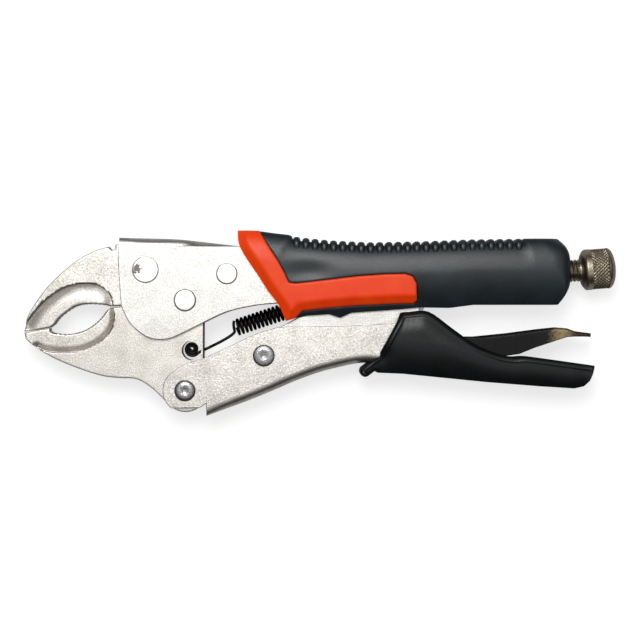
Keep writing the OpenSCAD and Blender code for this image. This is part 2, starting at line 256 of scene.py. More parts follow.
# Vinyl is dipped and cured, so its skin is black and glossy, and wavy on a scale of a millimetre.
black_vinyl = moulded("dipped_black_vinyl", "#0d1315", "#080c0d", 0.30, 1.2, 0.02, coat=0.1, shine=0.25)

# %% [markdown]
# The lever is blackened steel. At its thin tip the black has rubbed through to a brassy brown, which a colour that
# depends on the place along the lever gives.

# %% Lever finish
lever_black, tree, look, place = blank("black_oxide_lever_steel")
along = add(tree, "SeparateXYZ", {0: place}).outputs["X"]
fine = add(tree, "TexNoise", {"Vector": place, "Scale": 1 / (0.8 * MM), "Detail": 4.0, "Roughness": 0.7})
wander = add(tree, "Math", {0: fine.outputs["Fac"], 1: 0.012, 2: along}, operation="MULTIPLY_ADD")
worn = add(tree, "ValToRGB", {0: add(tree, "MapRange", {0: wander, 1: 0.095, 2: 0.125})})
ramp = worn.color_ramp.elements
ramp[0].color, ramp[1].color = linear("#141415"), linear("#2a2320")
for stop, code in ((0.42, "#8c7b5a"), (0.25, "#1c1b1b"), (0.62, "#3a2f26")):
    ramp.new(stop).color = linear(code)
tree.links.new(worn.outputs[0], look.inputs["Base Color"])
look.inputs["Metallic"].default_value = 0.8
grained(tree, fine, 0.3, 0.55, 0.05)

# %% Give every frame piece its finish
finish_of = {
    "upper_channel": plated_sheet, "lower_channel": plated_wall, "upper_jaw": forged_steel,
    "lower_jaw": forged_steel, "toggle_link": forged_steel, "screw_nut": forged_steel,
    "screw_thrust_cap": forged_steel, "upper_jaw_front_rivet": rivet_steel, "upper_jaw_rear_rivet": rivet_steel,
    "jaw_pivot_rivet": rivet_steel, "lower_handle_rivet": rivet_steel, "toggle_link_rivet": rivet_steel,
    "spring_anchor_pin": rivet_steel, "release_lever_pin": rivet_steel, "adjusting_screw": screw_steel,
    "jaw_spring": spring_steel, "upper_grip": slate_rubber, "upper_grip_inlay": orange_plastic,
    "lower_grip": black_vinyl, "release_lever": lever_black}
for node, finish in finish_of.items():
    data = frame["nodes"][node].data
    data.materials.clear()
    data.materials.append(finish)
print("finished:", len(finish_of))

# %% [markdown]
# ## Reading the frame
# The finished pieces have to fit the frame exactly, so their outlines are read from it: a flat cut through a CAD
# piece gives closed loops of points. Everything else here is built from such loops.

# %% Cut a piece and read its outline
def merged(node):
    """A copy of a CAD piece's mesh with its loose triangles joined up."""
    shell = bmesh.new()
    shell.from_mesh(frame["nodes"][node].data)
    bmesh.ops.remove_doubles(shell, verts=shell.verts, dist=0.001 * MM)
    return shell

def section(node, height):
    """Loops of points where a flat cut, height above the middle plane, meets a CAD piece (mm), longest first."""
    shell = merged(node)
    everything = shell.verts[:] + shell.edges[:] + shell.faces[:]
    bmesh.ops.bisect_plane(shell, geom=everything, dist=1e-9, plane_co=(0, 0, MID + height * MM),
                           plane_no=(0, 0, 1), clear_inner=True, clear_outer=True)
    bmesh.ops.remove_doubles(shell, verts=shell.verts, dist=0.001 * MM)
    left, loops = dict.fromkeys(shell.verts), []  # unlike a set, a dict keeps its order from run to run
    while left:
        vert = next(iter(left))
        del left[vert]
        loop, edge = [vert], vert.link_edges[0] if vert.link_edges else None
        while edge is not None:
            vert = edge.other_vert(vert)
            if vert not in left:
                break
            del left[vert]
            loop.append(vert)
            edge = next((e for e in vert.link_edges if e is not edge), None)
        if len(loop) > 2:
            loops.append(straightened(np.array([v.co.xy for v in loop]) / MM))
    shell.free()
    loops.sort(key=lambda loop: -abs(signed_area(loop)))
    return [loop if (signed_area(loop) > 0) == (i == 0) else loop[::-1] for i, loop in enumerate(loops)]

def signed_area(loop):
    x, y = loop.T
    return 0.5 * float(np.sum(x * np.roll(y, -1) - y * np.roll(x, -1)))

def straightened(loop):
    """Drops the points that lie on a straight line between their neighbours."""
    before, after = loop - np.roll(loop, 1, 0), np.roll(loop, -1, 0) - loop
    turn = before[:, 0] * after[:, 1] - before[:, 1] * after[:, 0]
    return loop[np.abs(turn) > 1e-4 * np.linalg.norm(before, axis=1) * np.linalg.norm(after, axis=1) + 1e-9]

# %% Measure distances and tell inside from outside
def edges_of(loop):
    return np.stack([loop, np.roll(loop, -1, 0)], 1)

def away(points, edges):
    """Distance in mm from each point to the nearest of some straight edges."""
    if len(edges) == 0:
        return np.full(len(points), 1e3)
    start, run = edges[None, :, 0], (edges[:, 1] - edges[:, 0])[None]
    share = ((points[:, None] - start) * run).sum(2) / np.maximum((run ** 2).sum(2), 1e-12)
    near = start + np.clip(share, 0, 1)[..., None] * run
    return np.sqrt(((points[:, None] - near) ** 2).sum(2)).min(1)

def inside(points, loops):
    """True for the points that lie inside the first loop and outside the holes."""
    edges = np.concatenate([edges_of(loop) for loop in loops])
    (ax, ay), (bx, by) = edges[:, 0].T, edges[:, 1].T
    px, py = points[:, 0:1], points[:, 1:2]
    crosses = (ay[None] > py) != (by[None] > py)
    where = ax + (py - ay) * (bx - ax) / np.where(by == ay, 1e-12, by - ay)
    return (crosses & (px < where)).sum(1) % 2 == 1

# %% [markdown]
# ## A solid with a swelling thickness
# The grips and the jaws are flat things whose thickness changes from place to place. Each is made as a sheet of
# triangles over its outline, with extra rows of points close to the edge where the surface turns, and the sheet is
# lifted by half the thickness on both sides of the middle plane. The thickness is a plain function of the place, so
# a lip, a ridge or a crown is one more term in it.

# %% Build such a solid
def spaced(loop, step):
    """Splits long edges so that no two points of a loop are more than step apart."""
    rows = []
    for a, b in edges_of(loop):
        count = max(1, math.ceil(np.linalg.norm(b - a) / step))
        rows += [a + (b - a) * k / count for k in range(count)]
    return np.array(rows)

def moved_in(loop, depth):
    """Moves every point of a loop to its left, which is inwards on an outline and away from a hole."""
    along = np.roll(loop, -1, 0) - np.roll(loop, 1, 0)
    return loop + depth * np.stack([-along[:, 1], along[:, 0]], 1) / np.linalg.norm(along, axis=1)[:, None]

def swelling(name, loops, half, rings, step, edge_step, extra=None):
    """A closed mesh over the loops (mm), half(points) thick on each side of the middle plane. rings are the depths of
    the extra rows along the edge, and the loops are moved in a hair so that no wall lies in the frame piece's own."""
    loops = [moved_in(spaced(loop, edge_step), 0.02) for loop in loops]
    edges = np.concatenate([edges_of(loop) for loop in loops])
    cloud = []
    for depth in rings:
        for loop in loops:
            row = moved_in(loop, depth)
            cloud.append(row[away(row, edges) > 0.93 * depth])
    (x0, y0), (x1, y1) = loops[0].min(0), loops[0].max(0)
    grid = np.array([(x, y) for i, y in enumerate(np.arange(y0, y1, step * 0.866))
                     for x in np.arange(x0 + (i % 2) * step / 2, x1, step)])
    cloud.append(grid[away(grid, edges) > max(rings) + 0.5 * step])
    if extra is not None:
        cloud.append(extra[away(extra, edges) > 0.3])
    cloud = np.concatenate(cloud)
    cloud = cloud[inside(cloud, loops)]
    fence, first = [], 0
    for loop in loops:
        fence += [(first + i, first + (i + 1) % len(loop)) for i in range(len(loop))]
        first += len(loop)
    points = [Vector(p) for p in np.concatenate(loops + [cloud])]
    flat, _, faces, _, _, _ = delaunay_2d_cdt(points, fence, [], 0, 1e-5)
    flat = np.array([tuple(p) for p in flat])
    faces = np.array([f[:3] for f in faces])
    faces = faces[inside(flat[faces].mean(1), loops)]
    used, faces = np.unique(faces, return_inverse=True)
    flat, faces = flat[used], faces.reshape(-1, 3)
    height = half(flat)
    count = len(flat)
    pairs = {(a, b) for f in faces for a, b in ((f[0], f[1]), (f[1], f[2]), (f[2], f[0]))}
    rim = [(a, b) for a, b in pairs if (b, a) not in pairs]
    verts = np.concatenate([np.column_stack([flat, height]), np.column_stack([flat, -height])]) * MM + (0, 0, MID)
    sides = [(a + count, b + count, b, a) for a, b in rim]
    mesh = bpy.data.meshes.new(name)
    mesh.from_pydata(verts.tolist(), [], faces.tolist() + (faces[:, ::-1] + count).tolist() + sides)
    mesh.update()
    return mesh

def shown(name, mesh, finish, smooth=35, flat=False):
    """Puts a mesh in the scene as a piece with one finish, smooth except across sharp edges."""
    if name in bpy.data.objects:
        name = name + "_look"
    mesh.name = name
    mesh.materials.clear()
    mesh.materials.append(finish)
    mesh.polygons.foreach_set("material_index", [0] * len(mesh.polygons))
    mesh.shade_smooth()
    mesh.set_sharp_from_angle(angle=math.radians(smooth))
    piece = bpy.data.objects.new(name, mesh)
    scene.collection.objects.link(piece)
    if flat:
        level = piece.modifiers.new("keep_flats_flat", "WEIGHTED_NORMAL")
        level.keep_sharp, level.weight = True, 100
    return piece

def stands_for(piece, node):
    """The finished piece rides where its CAD node rides and is shown in its place."""
    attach(piece, frame["nodes"][node]["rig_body"])
    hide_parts(node)
    low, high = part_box(node)
    reach = np.array([v.co for v in piece.data.vertices])
    over = max(np.max(reach.max(0) - high), np.max(np.array(low) - reach.min(0))) / MM
    print(f"{piece.name}: {len(piece.data.polygons)} faces, stands {over:.2f} mm outside its frame piece")

def carved(name, mesh, node):
    """Keeps of a mesh only what lies inside a CAD piece, so that every bore and slot of the frame is respected."""
    block = bpy.data.objects.new(name + "_block", mesh)
    tool_mesh = bpy.data.meshes.new(name + "_tool")
    shell = merged(node)
    shell.to_mesh(tool_mesh)
    shell.free()
    tool = bpy.data.objects.new(name + "_tool", tool_mesh)
    scene.collection.objects.link(block)
    scene.collection.objects.link(tool)
    cut = block.modifiers.new("carve", "BOOLEAN")
    cut.operation, cut.object, cut.solver = "INTERSECT", tool, "EXACT"
    made = bpy.data.meshes.new_from_object(block.evaluated_get(bpy.context.evaluated_depsgraph_get()))
    bpy.data.objects.remove(block)
    bpy.data.objects.remove(tool)
    return made

# %% [markdown]
# ## Crowned grips
# The fixed handle's grip is moulded from two materials. Its side swells from a narrow top to a full middle and tucks
# in again below. Each part of the outline turns over with its own depth and width, a quarter of an ellipse, and the
# orange inlay has a flat chamfer along its outer edge instead, with a crisp ridge.

# %% Sort the outline by the way it faces
def facing(loop, back_from=0):
    """Splits an outline's edges into front, top, back and under by where they face."""
    edges = edges_of(loop)
    run = edges[:, 1] - edges[:, 0]
    out = np.stack([run[:, 1], -run[:, 0]], 1) / np.linalg.norm(run, axis=1)[:, None]
    front, back = out[:, 0] < -0.6, (out[:, 0] > 0.6) & (edges[:, :, 0].max(1) > back_from)
    return {"front": edges[front], "back": edges[back], "top": edges[~front & ~back & (out[:, 1] > 0)],
            "under": edges[~front & ~back & (out[:, 1] < 0)]}

def turned_down(distance, width, depth):
    """How far the surface has dropped at a distance from an edge that turns over like a quarter of an ellipse."""
    share = np.clip(1 - distance / width, 0, 1)
    return depth * (1 - np.sqrt(1 - share ** 2))

def slanted_down(distance, width, depth):
    """The same for an edge with a flatter turn, which leaves a broad slanted band along it."""
    return depth * np.clip(1 - distance / width, 0, 1) ** 1.7

# %% Upper grip and inlay
grip_cut = section("upper_grip", 9.5)[0]
inlay_cut = section("upper_grip_inlay", 9.5)[0]
upper_edge = grip_cut[:, 1] > 25
lowest_near = np.array([grip_cut[upper_edge & (abs(grip_cut[:, 0] - x) < 1.9), 1].min(initial=99)
                        for x in grip_cut[:, 0]])
on_ribs = upper_edge & (grip_cut[:, 0] > -11.6) & (grip_cut[:, 0] < 84.9) & (grip_cut[:, 1] - lowest_near > 0.75)
rib_points = grip_cut[on_ribs]
grip_floor = grip_cut[~on_ribs]
print("rib corners read from the frame:", len(rib_points), "grip outline points left:", len(grip_floor))
grip_sides, inlay_sides = facing(grip_floor, 95), facing(inlay_cut)
outer = {}
for way in ("front", "top", "back", "under"):
    kept = []
    for sides, other in ((grip_sides, inlay_cut), (inlay_sides, grip_floor)):
        mine = sides[way]
        if len(mine):
            kept.append(mine[away(mine.mean(1), edges_of(other)) > 0.05])
    outer[way] = np.concatenate(kept)
print("edges of the joined outline:", {way: len(e) for way, e in outer.items()})

TOP_WIDE, TOP_DEEP = 13, 4.6  # mm, the turn along the top edge
SKIN = TOP_HALF - 0.03  # a hair below the frame's face

def grip_crown(points):
    under = slanted_down(away(points, outer["under"]), 15, 5.0)
    back = turned_down(away(points, outer["back"]), 7, 3.8)
    drop = turned_down(away(points, outer["top"]), TOP_WIDE, TOP_DEEP) + np.maximum(under, back)
    return drop + turned_down(away(points, outer["front"]), 1.6, 1.2)

def grip_half(points):
    """The dark part: the crown, a shallow dish beside the inlay's inner corner and a fine seam along the inlay."""
    dish = 0.9 * np.exp(-((points[:, 0] + 5) / 9) ** 2 - ((points[:, 1] - 21.5) / 4.0) ** 2)
    seam = turned_down(away(points, edges_of(inlay_cut)), 0.7, 0.5)
    return SKIN - np.minimum(grip_crown(points) + dish + seam, 8.5)

def inlay_half(points):
    """The orange part: proud of the dark one, with a flat chamfer 3.6 mm wide along its outer edge."""
    edge = np.minimum(away(points, inlay_sides["front"]), away(points, inlay_sides["under"]))
    chamfer = 2.6 * np.clip(1 - edge / 3.6, 0, 1)
    seam = turned_down(away(points, edges_of(grip_floor)), 0.8, 0.6)
    top = turned_down(away(points, outer["top"]), TOP_WIDE, TOP_DEEP)
    return SKIN - np.minimum(top + chamfer + seam, 8.5)

RINGS = (0.06, 0.25, 0.6, 1.1, 1.8, 2.7, 3.6, 4.6)
grip_mesh = carved("grip", swelling("grip", [grip_floor], grip_half, RINGS, 1.2, 1.0), "upper_grip")
stands_for(shown("upper_grip_body", grip_mesh, slate_rubber), "upper_grip")
inlay_mesh = carved("inlay", swelling("inlay", [inlay_cut], inlay_half, RINGS, 1.0, 0.8), "upper_grip_inlay")
stands_for(shown("upper_grip_orange", inlay_mesh, orange_plastic, 28), "upper_grip_inlay")

# %% [markdown]
# ## Ribs along the grip
# Ribs repeat, so one bar is enough: a closed ridge that lies across the top of the grip, runs a little way down both
# sides and thins out there. Geometry Nodes set copies of it along a line that runs through the real places of the
# ribs, so the count and the spacing stay two numbers that can be changed.

# %% One rib bar
rib_line = rib_points[np.argsort(rib_points[:, 0])].reshape(-1, 2, 2).mean(1)
RIB_COUNT = len(rib_line)
print("ribs:", RIB_COUNT, "pitch in mm:", round(float(np.diff(rib_line[:, 0]).mean()), 2))

def rib_bar(width, height, reach):
    """A bar across the grip's top, its length bent over the crown, with its origin at the top of the rib (mm)."""
    rows, sides = [], 10
    flat, deep, wide = TOP_HALF - TOP_DEEP, TOP_WIDE, TOP_DEEP
    for s in np.linspace(-1, 1, 41):
        spread = abs(s) * (flat + reach)
        turn = max(0.0, spread - flat) / 9.5
        z = math.copysign(min(spread, flat) + wide * math.sin(turn), s)
        y = -deep * (1 - math.cos(turn))
        normal = np.array([math.cos(turn) / deep, math.copysign(math.sin(turn) / wide, s)])
        normal /= np.linalg.norm(normal)
        fade = min(1.0, (1 - abs(s)) / 0.22) ** 0.6
        ring = []
        for k in range(sides):
            a = 2 * math.pi * k / sides
            x = width / 2 * math.copysign(abs(math.cos(a)) ** 0.85, math.cos(a)) * (0.5 + 0.5 * fade)
            lift = height * math.copysign(abs(math.sin(a)) ** 0.85, math.sin(a)) * fade
            ring.append((x, y - height + lift * normal[0], z + lift * normal[1]))
        rows.append(ring)
    last = (len(rows) - 1) * sides
    faces = [(r + k, r + (k + 1) % sides, r + sides + (k + 1) % sides, r + sides + k)
             for r in range(0, last, sides) for k in range(sides)]
    faces += [tuple(range(sides - 1, -1, -1)), tuple(range(last, last + sides))]
    mesh = bpy.data.meshes.new("rib_bar")
    mesh.from_pydata((np.array(rows).reshape(-1, 3) * MM).tolist(), [], faces)
    shell = bmesh.new()
    shell.from_mesh(mesh)
    bmesh.ops.recalc_face_normals(shell, faces=shell.faces)
    shell.to_mesh(mesh)
    shell.free()
    return mesh

bar = bpy.data.objects.new("rib_bar", rib_bar(width=3.2, height=1.5, reach=7.0))

# %% Set the ribs along their line
def new_tree(name, inputs):
    """A Geometry Nodes tree with a geometry input and named inputs; returns the tree and its group input node."""
    tree = bpy.data.node_groups.new(name, "GeometryNodeTree")
    tree.interface.new_socket("Geometry", in_out="INPUT", socket_type="NodeSocketGeometry")
    for label, (kind, value) in inputs.items():
        socket = tree.interface.new_socket(label, in_out="INPUT", socket_type="NodeSocket" + kind)
        if value is not None:
            socket.default_value = value
    tree.interface.new_socket("Geometry", in_out="OUTPUT", socket_type="NodeSocketGeometry")
    return tree, tree.nodes.new("NodeGroupInput")

def close_tree(tree, given, shape):
    """Ends a tree: copies become real geometry, and everything gets the finish that came in."""
    real = add(tree, "RealizeInstances", {0: shape})
    painted = add(tree, "SetMaterial", {"Geometry": real, "Material": given.outputs["Finish"]})
    add(tree, "NodeGroupOutput", {0: painted})

def run_tree(name, base, tree, **values):
    """Puts the tree on an object with that base mesh, sets its named inputs, and returns the result as a plain mesh."""
    holder = bpy.data.objects.new(name + "_maker", base)
    scene.collection.objects.link(holder)
    work = holder.modifiers.new("make", "NODES")
    work.node_group = tree
    inputs = [item for item in tree.interface.items_tree if item.in_out == "INPUT"]
    names = {item.name.replace(" ", "_"): item.identifier for item in inputs}
    for label, value in values.items():
        work[names[label]] = value
    holder.update_tag()
    bpy.context.view_layer.update()
    made = bpy.data.meshes.new_from_object(holder.evaluated_get(bpy.context.evaluated_depsgraph_get()))
    bpy.data.objects.remove(holder)
    return made

tree, given = new_tree("row_along_a_line", {
    "Piece": ("Object", None), "Count": ("Int", 25), "Finish": ("Material", None)})
line = add(tree, "MeshToCurve", {0: given.outputs["Geometry"]})
stops = add(tree, "ResampleCurve", {"Curve": line, "Count": given.outputs["Count"]})
piece = add(tree, "ObjectInfo", {"Object": given.outputs["Piece"]})
copies = add(tree, "InstanceOnPoints", {"Points": stops, "Instance": piece.outputs["Geometry"]})
close_tree(tree, given, copies)

line_mesh = bpy.data.meshes.new("rib_line")
line_mesh.from_pydata([(x * MM, y * MM, MID) for x, y in rib_line], [(i, i + 1) for i in range(RIB_COUNT - 1)], [])
ribs_mesh = run_tree("ribs", line_mesh, tree, Piece=bar, Count=RIB_COUNT, Finish=slate_rubber)
bpy.data.objects.remove(bar)
ribs = shown("upper_grip_ribs", ribs_mesh, slate_rubber, 50)
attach(ribs, "upper_handle")
print("rib faces:", len(ribs_mesh.polygons))

# %% [markdown]
# ## Dipped vinyl grip
# The moving handle is dipped in vinyl, which leaves a smooth skin with full, round edges: thick along the top edge,
# a bead round the slanted front where the dip ended, and a rounded bump that keeps fingers off the linkage.

# %% Lower grip
lower_cut = section("lower_grip", 9.5)
lower_sides = facing(lower_cut[0], 112)
print("lower grip outline points:", [len(loop) for loop in lower_cut], {way: len(e) for way, e in lower_sides.items()})

guard = lower_cut[0][:, 0].min() + 7
wide_under = lower_sides["under"][lower_sides["under"][:, :, 0].min(1) > guard]
near_guard = edges_of(lower_cut[0])
near_guard = near_guard[near_guard[:, :, 0].max(1) < guard + 1]

def vinyl_half(points):
    """The vinyl's skin: wide quarter ellipses above and below, and a low rim left along the front and the top edge."""
    front, top = away(points, lower_sides["front"]), away(points, lower_sides["top"])
    under = slanted_down(away(points, wide_under), 14, 4.5)
    back = turned_down(away(points, lower_sides["back"]), 3.0, 2.6)
    drop = turned_down(top, 10, 3.4) + np.maximum(under, back) + turned_down(front, 1.8, 1.6)
    drop += turned_down(away(points, near_guard), 2.0, 1.4)
    beyond = np.clip((np.minimum(front, top) - 1.9) / 0.8, 0, 1)
    return SKIN - np.minimum(drop + 0.4 * beyond * beyond * (3 - 2 * beyond), 8.6)

RIM_RINGS = (0.06, 0.25, 0.6, 1.1, 1.6, 1.9, 2.2, 2.5, 2.8, 3.6)
lower_mesh = swelling("lower_grip_skin", lower_cut[:1], vinyl_half, RIM_RINGS, 0.95, 0.7)
lower_mesh = carved("lower_grip_skin", lower_mesh, "lower_grip")
stands_for(shown("lower_grip_skin", lower_mesh, black_vinyl), "lower_grip")

# %% [markdown]
# ## Forged jaws
# The jaws are forged in one piece each, then the lips are ground hollow so that they bite on their inner edge. The
# hollow starts with a step and a round fillet and comes up again towards the teeth.

# %% Jaws with hollow lips
def jaw(node, full, lip_level, above, reach, dip):
    """Outline from a low cut; the lip's border is where a high cut's outline differs from it. All in mm: full is half
    the jaw's thickness, lip_level half the lip's, and the hollow is dip deeper at the border, fading over reach."""
    loops = section(node, 2.4)
    high = section(node, above)[0]
    high = moved_in(spaced(high, 1.0), 0.12)
    border = edges_of(high)
    border = border[away(border.mean(1), np.concatenate([edges_of(loop) for loop in loops])) > 0.35]
    rim = edges_of(loops[0])
    lips_low, lips_high = border.reshape(-1, 2).min(0), border.reshape(-1, 2).max(0)
    def half(points):
        lip = ~inside(points, [high]) & inside(points, loops[:1])
        step = away(points, border)
        hollow = np.where(lip, full - lip_level + 0.2 + dip * np.exp(-(step / reach) ** 2), 0)
        edge = turned_down(away(points, rim), 0.6, 0.45)
        return full - 0.02 - hollow - edge
    print(node, "lip border runs from", lips_low.round(1), "to", lips_high.round(1))
    near = spaced(straightened(high), 0.6)
    near = np.concatenate([moved_in(near, d) for d in (-2.2, -1.4, -0.8, -0.35, -0.04, 0.04)])
    mesh = swelling(node, loops, half, (0.06, 0.2, 0.5, 0.9, 1.4), 1.1, 0.8, extra=near)
    return carved(node, mesh, node)

upper = jaw("upper_jaw", full=5.3, lip_level=3.4, above=4.6, reach=3.0, dip=1.5)
stands_for(shown("upper_jaw_forged", upper, forged_steel, 30), "upper_jaw")
lower = jaw("lower_jaw", full=5.0, lip_level=3.4, above=4.4, reach=1.1, dip=1.9)
stands_for(shown("lower_jaw_forged", lower, forged_steel, 30), "lower_jaw")

# %% [markdown]
# ## Folded sheet handles
# Both handles are pressed from 2 mm sheet and folded into a channel, so the two long edges of the back are bends with
# a radius, while the cut edges are only tumbled. A bevel by edge weight gives both in one step: weight 1 is the full
# bend, and a small share of it takes the sharpness off a cut edge.

# %% Bend the channels
BORE_EDGE, LUG_EDGE = 4.2, 10.8  # mm from a bore's centre: its own rim, and the round lug that holds it

def folded(name, node, way, bend, finish, cut_share):
    """A copy of a channel whose outer edges facing way (+1 up, -1 down) are rounded with the radius bend (mm)."""
    shell = merged(node)
    bmesh.ops.dissolve_limit(shell, angle_limit=math.radians(1), verts=shell.verts, edges=shell.edges)
    weight = shell.edges.layers.float.new("bevel_weight_edge")
    boxes = [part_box(n) for n in frame["nodes"] if n.endswith(("rivet", "pin"))]
    bores = [((lo.x + hi.x) / 2, (lo.y + hi.y) / 2) for lo, hi in boxes]
    skin_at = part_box(node)[1].z - MID
    for edge in shell.edges:
        if len(edge.link_faces) != 2 or edge.calc_face_angle() < math.radians(25):
            continue
        middle = (edge.verts[0].co + edge.verts[1].co) / 2
        from_bore = min(math.hypot(middle.x - c[0], middle.y - c[1]) for c in bores) / MM
        if from_bore < BORE_EDGE:
            continue
        z = [v.co.z for v in edge.verts]
        skin = max(abs(z[0] - MID), abs(z[1] - MID)) > skin_at - 1e-5 and abs(z[0] - z[1]) < 1e-6
        back = any(f.normal.y * way > 0.85 for f in edge.link_faces) and from_bore > LUG_EDGE
        edge[weight] = 0.0 if not skin else 1.0 if back else cut_share
    mesh = bpy.data.meshes.new(name)
    shell.to_mesh(mesh)
    shell.free()
    holder = bpy.data.objects.new(name, mesh)
    scene.collection.objects.link(holder)
    bevel = holder.modifiers.new("bend", "BEVEL")
    bevel.limit_method, bevel.width, bevel.segments = "WEIGHT", bend * MM, 5
    bevel.use_clamp_overlap = False
    made = bpy.data.meshes.new_from_object(holder.evaluated_get(bpy.context.evaluated_depsgraph_get()))
    bpy.data.objects.remove(holder)
    stands_for(shown(name, made, finish, 40, True), node)

folded("upper_handle_sheet", "upper_channel", 1, bend=3.4, finish=plated_sheet, cut_share=0.1)
folded("lower_handle_sheet", "lower_channel", -1, bend=3.8, finish=plated_wall, cut_share=0.1)
folded("release_lever_sheet", "release_lever", 1, bend=1.6, finish=lever_black, cut_share=0.2)
folded("toggle_link_plate", "toggle_link", 1, bend=0.5, finish=plated_sheet, cut_share=0.8)

# %% [markdown]
# ## Rivets
# A peened rivet is a low round head, flat or slightly dished in the middle. All five come from one tree: a grid whose
# rows become rings and whose columns go round, lifted by the head's profile, closed by merging its seam, and turned
# over for the other side. The sizes are the tree's named inputs.

# %% The rivet tree
tree, given = new_tree("rivet_heads", {
    "Radius": ("Float", 0.005), "Height": ("Float", 0.001), "Flat": ("Float", 0.6),
    "Dimple": ("Float", 0.0), "Face": ("Float", 0.0073), "Finish": ("Material", None)})
grid = add(tree, "MeshGrid", {"Size X": 1.0, "Size Y": 1.0, "Vertices X": 14, "Vertices Y": 49})
spot = add(tree, "SeparateXYZ", {0: add(tree, "InputPosition")})
# Twelve of the thirteen steps from row to row cross the head, and the last one is the skirt under its edge
ring = add(tree, "Math", {0: spot.outputs["X"], 1: 13 / 12, 2: 0.5 * 13 / 12}, operation="MULTIPLY_ADD")
share = add(tree, "Math", {0: ring, 1: 1.0}, operation="MINIMUM")
rest = add(tree, "Math", {0: 1.0, 1: share}, operation="SUBTRACT")
bent = add(tree, "Math", {0: rest, 1: 1.7}, operation="POWER")
out = add(tree, "Math", {0: 1.0, 1: bent}, operation="SUBTRACT")
radius = add(tree, "Math", {0: out, 1: given.outputs["Radius"]}, operation="MULTIPLY")
fall = add(tree, "MapRange", {"Value": out, "From Min": given.outputs["Flat"]})
square = add(tree, "Math", {0: fall, 1: 2.0}, operation="POWER")
left = add(tree, "Math", {0: 1.0, 1: square}, operation="SUBTRACT")
dome = add(tree, "Math", {0: left}, operation="SQRT")
dish = add(tree, "MapRange", {"Value": out, "From Min": 0.0, "From Max": 0.5, "To Min": 1.0, "To Max": 0.0},
           interpolation_type="SMOOTHSTEP")
sunk = add(tree, "Math", {0: dish, 1: given.outputs["Dimple"]}, operation="MULTIPLY")
lift = add(tree, "Math", {0: dome, 1: given.outputs["Height"]}, operation="MULTIPLY")
top = add(tree, "Math", {0: lift, 1: sunk}, operation="SUBTRACT")
under = add(tree, "Math", {0: ring, 1: 1.01}, operation="GREATER_THAN")
skirt = add(tree, "Math", {0: under, 1: -0.0004, 2: top}, operation="MULTIPLY_ADD")
height = add(tree, "Math", {0: skirt, 1: given.outputs["Face"]}, operation="ADD")
angle = add(tree, "Math", {0: spot.outputs["Y"], 1: 2 * math.pi}, operation="MULTIPLY")
cosine = add(tree, "Math", {0: angle}, operation="COSINE")
sine = add(tree, "Math", {0: angle}, operation="SINE")
x = add(tree, "Math", {0: cosine, 1: radius}, operation="MULTIPLY")
y = add(tree, "Math", {0: sine, 1: radius}, operation="MULTIPLY")
where = add(tree, "CombineXYZ", {0: x, 1: y, 2: height})
round_head = add(tree, "SetPosition", {"Geometry": grid.outputs["Mesh"], "Position": where})
closed = add(tree, "MergeByDistance", {"Geometry": round_head, "Distance": 0.00001})
other = add(tree, "Transform", {"Geometry": closed, "Rotation": (math.pi, 0, 0)})
pair = add(tree, "JoinGeometry", {0: closed})
tree.links.new(other.outputs[0], pair.inputs[0])
stuck = add(tree, "InstanceOnPoints", {"Points": given.outputs["Geometry"], "Instance": pair})
close_tree(tree, given, stuck)

# %% A hammer mark on the first rivet
marked = rivet_plate.copy()
marked.name = "nickel_plated_rivet_with_hammer_mark"
paint = marked.node_tree
low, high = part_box("upper_jaw_front_rivet")
place = add(paint, "TexCoord").outputs["Object"]
rough_edge = add(paint, "TexNoise", {"Vector": place, "Scale": 1 / (1.1 * MM), "Detail": 3.0})
spot = ((low.x + high.x) / 2 - 0.0036, (low.y + high.y) / 2 + 0.0002, MID + 0.0075)
span = add(paint, "VectorMath", {0: place, 1: spot}, operation="DISTANCE")
ragged = add(paint, "Math", {0: rough_edge.outputs["Fac"], 1: 0.0042, 2: span.outputs["Value"]},
             operation="MULTIPLY_ADD")
mark = add(paint, "MapRange", {0: ragged, 1: 0.0036, 2: 0.0044, 3: 1.0, 4: 0.0})
base = paint.nodes["Principled BSDF"].inputs["Base Color"]
clean = base.links[0].from_socket
dented = add(paint, "Mix", {0: mark, 6: clean, 7: linear("#6a625c")}, data_type="RGBA")
paint.links.new(dented.outputs[2], base)

# %% Set the rivets
sheet_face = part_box("upper_channel")[1].z - MID
for node, flat, dimple, finish in (
        ("upper_jaw_front_rivet", 0.9, 0.0, marked), ("upper_jaw_rear_rivet", 0.85, 0.0, rivet_plate),
        ("jaw_pivot_rivet", 0.82, 0.1, rivet_plate), ("lower_handle_rivet", 0.4, 0.45, rivet_steel),
        ("toggle_link_rivet", 0.45, 0.35, rivet_steel)):
    low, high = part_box(node)
    seat = bpy.data.meshes.new(node + "_seat")
    seat.from_pydata([((low.x + high.x) / 2, (low.y + high.y) / 2, MID)], [], [])
    heads = run_tree(node, seat, tree, Radius=(high.x - low.x) / 2, Height=high.z - MID - sheet_face - 1e-5,
                     Flat=flat, Dimple=dimple * MM, Face=sheet_face, Finish=finish)
    stands_for(shown(node + "_heads", heads, finish, 50), node)

# %% [markdown]
# ## Adjusting screw
# The screw is turned on a lathe, then the thread is cut and the head is knurled. The same order works here: a plain
# turned shape first, and a tree that presses a pattern into it. The thread is one spiral groove. The knurl is two
# families of grooves that cross, and the lower of the two at each place leaves diamonds standing.

# %% The plain turned shape
screw_joint = next(j for j in frame["joints"] if j["name"] == "screw_turn")
axis, start = Vector(screw_joint["axis"]).normalized(), Vector(screw_joint["pos_m"])
start.z = MID

